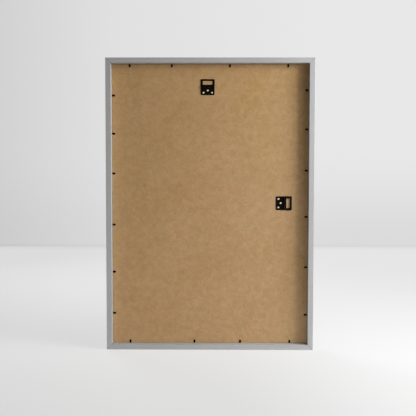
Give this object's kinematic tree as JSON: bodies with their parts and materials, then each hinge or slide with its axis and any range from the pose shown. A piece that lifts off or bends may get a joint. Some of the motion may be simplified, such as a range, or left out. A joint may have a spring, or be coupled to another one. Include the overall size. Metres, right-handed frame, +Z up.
{
  "type": "picture frame",
  "caption": "Rear-loading picture frame: mitred L-section rails, a back panel held by bendable points, and folding hanger loops for portrait or landscape hanging.",
  "frame": {"origin": "middle of the frame's footprint, on the surface it stands on", "axes": "+Z up, -Y the back of the frame with its panel and hangers, +Y the side that shows the picture, +X to the right as seen from behind"},
  "size_m": [0.7386, 0.0384, 1.0386],
  "materials": {
    "rail_paint": "satin",
    "bare_fibreboard": "matte",
    "black_steel": "satin",
    "dark_steel": "satin",
    "bright_steel": "satin",
    "rivet_metal": "satin",
    "plain_paper": "matte",
    "clear_sheet": "gloss"
  },
  "bodies": {
    "frame": {"rail_bottom": "rail_paint", "rail_left": "rail_paint", "rail_top": "rail_paint", "rail_right": "rail_paint", "point_shanks_bottom": "black_steel", "point_shanks_left": "black_steel", "point_shanks_top": "black_steel", "point_shanks_right": "black_steel", "mitre_nails": "bright_steel", "back_panel": "bare_fibreboard", "insert_sheet": "plain_paper", "glazing": "clear_sheet", "hanger_plate_top": "black_steel", "hanger_pin_top": "dark_steel", "hanger_plate_side": "black_steel", "hanger_pin_side": "dark_steel", "hanger_rivets": "rivet_metal"},
    "point_bottom_1": {"point_bottom_1": "black_steel"},
    "point_bottom_2": {"point_bottom_2": "black_steel"},
    "point_bottom_3": {"point_bottom_3": "black_steel"},
    "point_bottom_4": {"point_bottom_4": "black_steel"},
    "point_left_1": {"point_left_1": "black_steel"},
    "point_left_2": {"point_left_2": "black_steel"},
    "point_left_3": {"point_left_3": "black_steel"},
    "point_left_4": {"point_left_4": "black_steel"},
    "point_left_5": {"point_left_5": "black_steel"},
    "point_left_6": {"point_left_6": "black_steel"},
    "point_top_1": {"point_top_1": "black_steel"},
    "point_top_2": {"point_top_2": "black_steel"},
    "point_top_3": {"point_top_3": "black_steel"},
    "point_top_4": {"point_top_4": "black_steel"},
    "point_right_1": {"point_right_1": "black_steel"},
    "point_right_2": {"point_right_2": "black_steel"},
    "point_right_3": {"point_right_3": "black_steel"},
    "point_right_4": {"point_right_4": "black_steel"},
    "point_right_5": {"point_right_5": "black_steel"},
    "point_right_6": {"point_right_6": "black_steel"},
    "hanger_loop_top": {"hanger_loop_top": "black_steel"},
    "hanger_loop_side": {"hanger_loop_side": "black_steel"}
  },
  "joints": [
    {"name": "bend_point_bottom_1", "type": "hinge", "parent": "frame", "child": "point_bottom_1", "pos_m": [-0.2877, 0.00835, 0.01865], "axis": [1, 0, 0], "range_deg": [0, 90]},
    {"name": "bend_point_bottom_2", "type": "hinge", "parent": "frame", "child": "point_bottom_2", "pos_m": [-0.0553, 0.00835, 0.01865], "axis": [1, 0, 0], "range_deg": [0, 90]},
    {"name": "bend_point_bottom_3", "type": "hinge", "parent": "frame", "child": "point_bottom_3", "pos_m": [0.1099, 0.00835, 0.01865], "axis": [1, 0, 0], "range_deg": [0, 90]},
    {"name": "bend_point_bottom_4", "type": "hinge", "parent": "frame", "child": "point_bottom_4", "pos_m": [0.2884, 0.00835, 0.01865], "axis": [1, 0, 0], "range_deg": [0, 90]},
    {"name": "bend_point_left_1", "type": "hinge", "parent": "frame", "child": "point_left_1", "pos_m": [-0.35065, 0.00835, 0.1268], "axis": [0, 0, -1], "range_deg": [0, 90]},
    {"name": "bend_point_left_2", "type": "hinge", "parent": "frame", "child": "point_left_2", "pos_m": [-0.35065, 0.00835, 0.2768], "axis": [0, 0, -1], "range_deg": [0, 90]},
    {"name": "bend_point_left_3", "type": "hinge", "parent": "frame", "child": "point_left_3", "pos_m": [-0.35065, 0.00835, 0.4476], "axis": [0, 0, -1], "range_deg": [0, 90]},
    {"name": "bend_point_left_4", "type": "hinge", "parent": "frame", "child": "point_left_4", "pos_m": [-0.35065, 0.00835, 0.6316], "axis": [0, 0, -1], "range_deg": [0, 90]},
    {"name": "bend_point_left_5", "type": "hinge", "parent": "frame", "child": "point_left_5", "pos_m": [-0.35065, 0.00835, 0.7735], "axis": [0, 0, -1], "range_deg": [0, 90]},
    {"name": "bend_point_left_6", "type": "hinge", "parent": "frame", "child": "point_left_6", "pos_m": [-0.35065, 0.00835, 0.909], "axis": [0, 0, -1], "range_deg": [0, 90]},
    {"name": "bend_point_top_1", "type": "hinge", "parent": "frame", "child": "point_top_1", "pos_m": [-0.28658, 0.00835, 1.01995], "axis": [-1, 0, 0], "range_deg": [0, 90]},
    {"name": "bend_point_top_2", "type": "hinge", "parent": "frame", "child": "point_top_2", "pos_m": [-0.1365, 0.00835, 1.01995], "axis": [-1, 0, 0], "range_deg": [0, 90]},
    {"name": "bend_point_top_3", "type": "hinge", "parent": "frame", "child": "point_top_3", "pos_m": [0.07056, 0.00835, 1.01995], "axis": [-1, 0, 0], "range_deg": [0, 90]},
    {"name": "bend_point_top_4", "type": "hinge", "parent": "frame", "child": "point_top_4", "pos_m": [0.27783, 0.00835, 1.01995], "axis": [-1, 0, 0], "range_deg": [0, 90]},
    {"name": "bend_point_right_1", "type": "hinge", "parent": "frame", "child": "point_right_1", "pos_m": [0.35065, 0.00835, 0.1215], "axis": [0, 0, 1], "range_deg": [0, 90]},
    {"name": "bend_point_right_2", "type": "hinge", "parent": "frame", "child": "point_right_2", "pos_m": [0.35065, 0.00835, 0.2944], "axis": [0, 0, 1], "range_deg": [0, 90]},
    {"name": "bend_point_right_3", "type": "hinge", "parent": "frame", "child": "point_right_3", "pos_m": [0.35065, 0.00835, 0.4763], "axis": [0, 0, 1], "range_deg": [0, 90]},
    {"name": "bend_point_right_4", "type": "hinge", "parent": "frame", "child": "point_right_4", "pos_m": [0.35065, 0.00835, 0.6425], "axis": [0, 0, 1], "range_deg": [0, 90]},
    {"name": "bend_point_right_5", "type": "hinge", "parent": "frame", "child": "point_right_5", "pos_m": [0.35065, 0.00835, 0.7894], "axis": [0, 0, 1], "range_deg": [0, 90]},
    {"name": "bend_point_right_6", "type": "hinge", "parent": "frame", "child": "point_right_6", "pos_m": [0.35065, 0.00835, 0.9282], "axis": [0, 0, 1], "range_deg": [0, 90]},
    {"name": "fold_hanger_loop_top", "type": "hinge", "parent": "frame", "child": "hanger_loop_top", "pos_m": [-0.00868, 0.00635, 0.9393], "axis": [1, 0, 0], "range_deg": [0, 170]},
    {"name": "fold_hanger_loop_side", "type": "hinge", "parent": "frame", "child": "hanger_loop_side", "pos_m": [0.26544, 0.00635, 0.5254], "axis": [0, 0, -1], "range_deg": [-6, 164]}
  ]
}
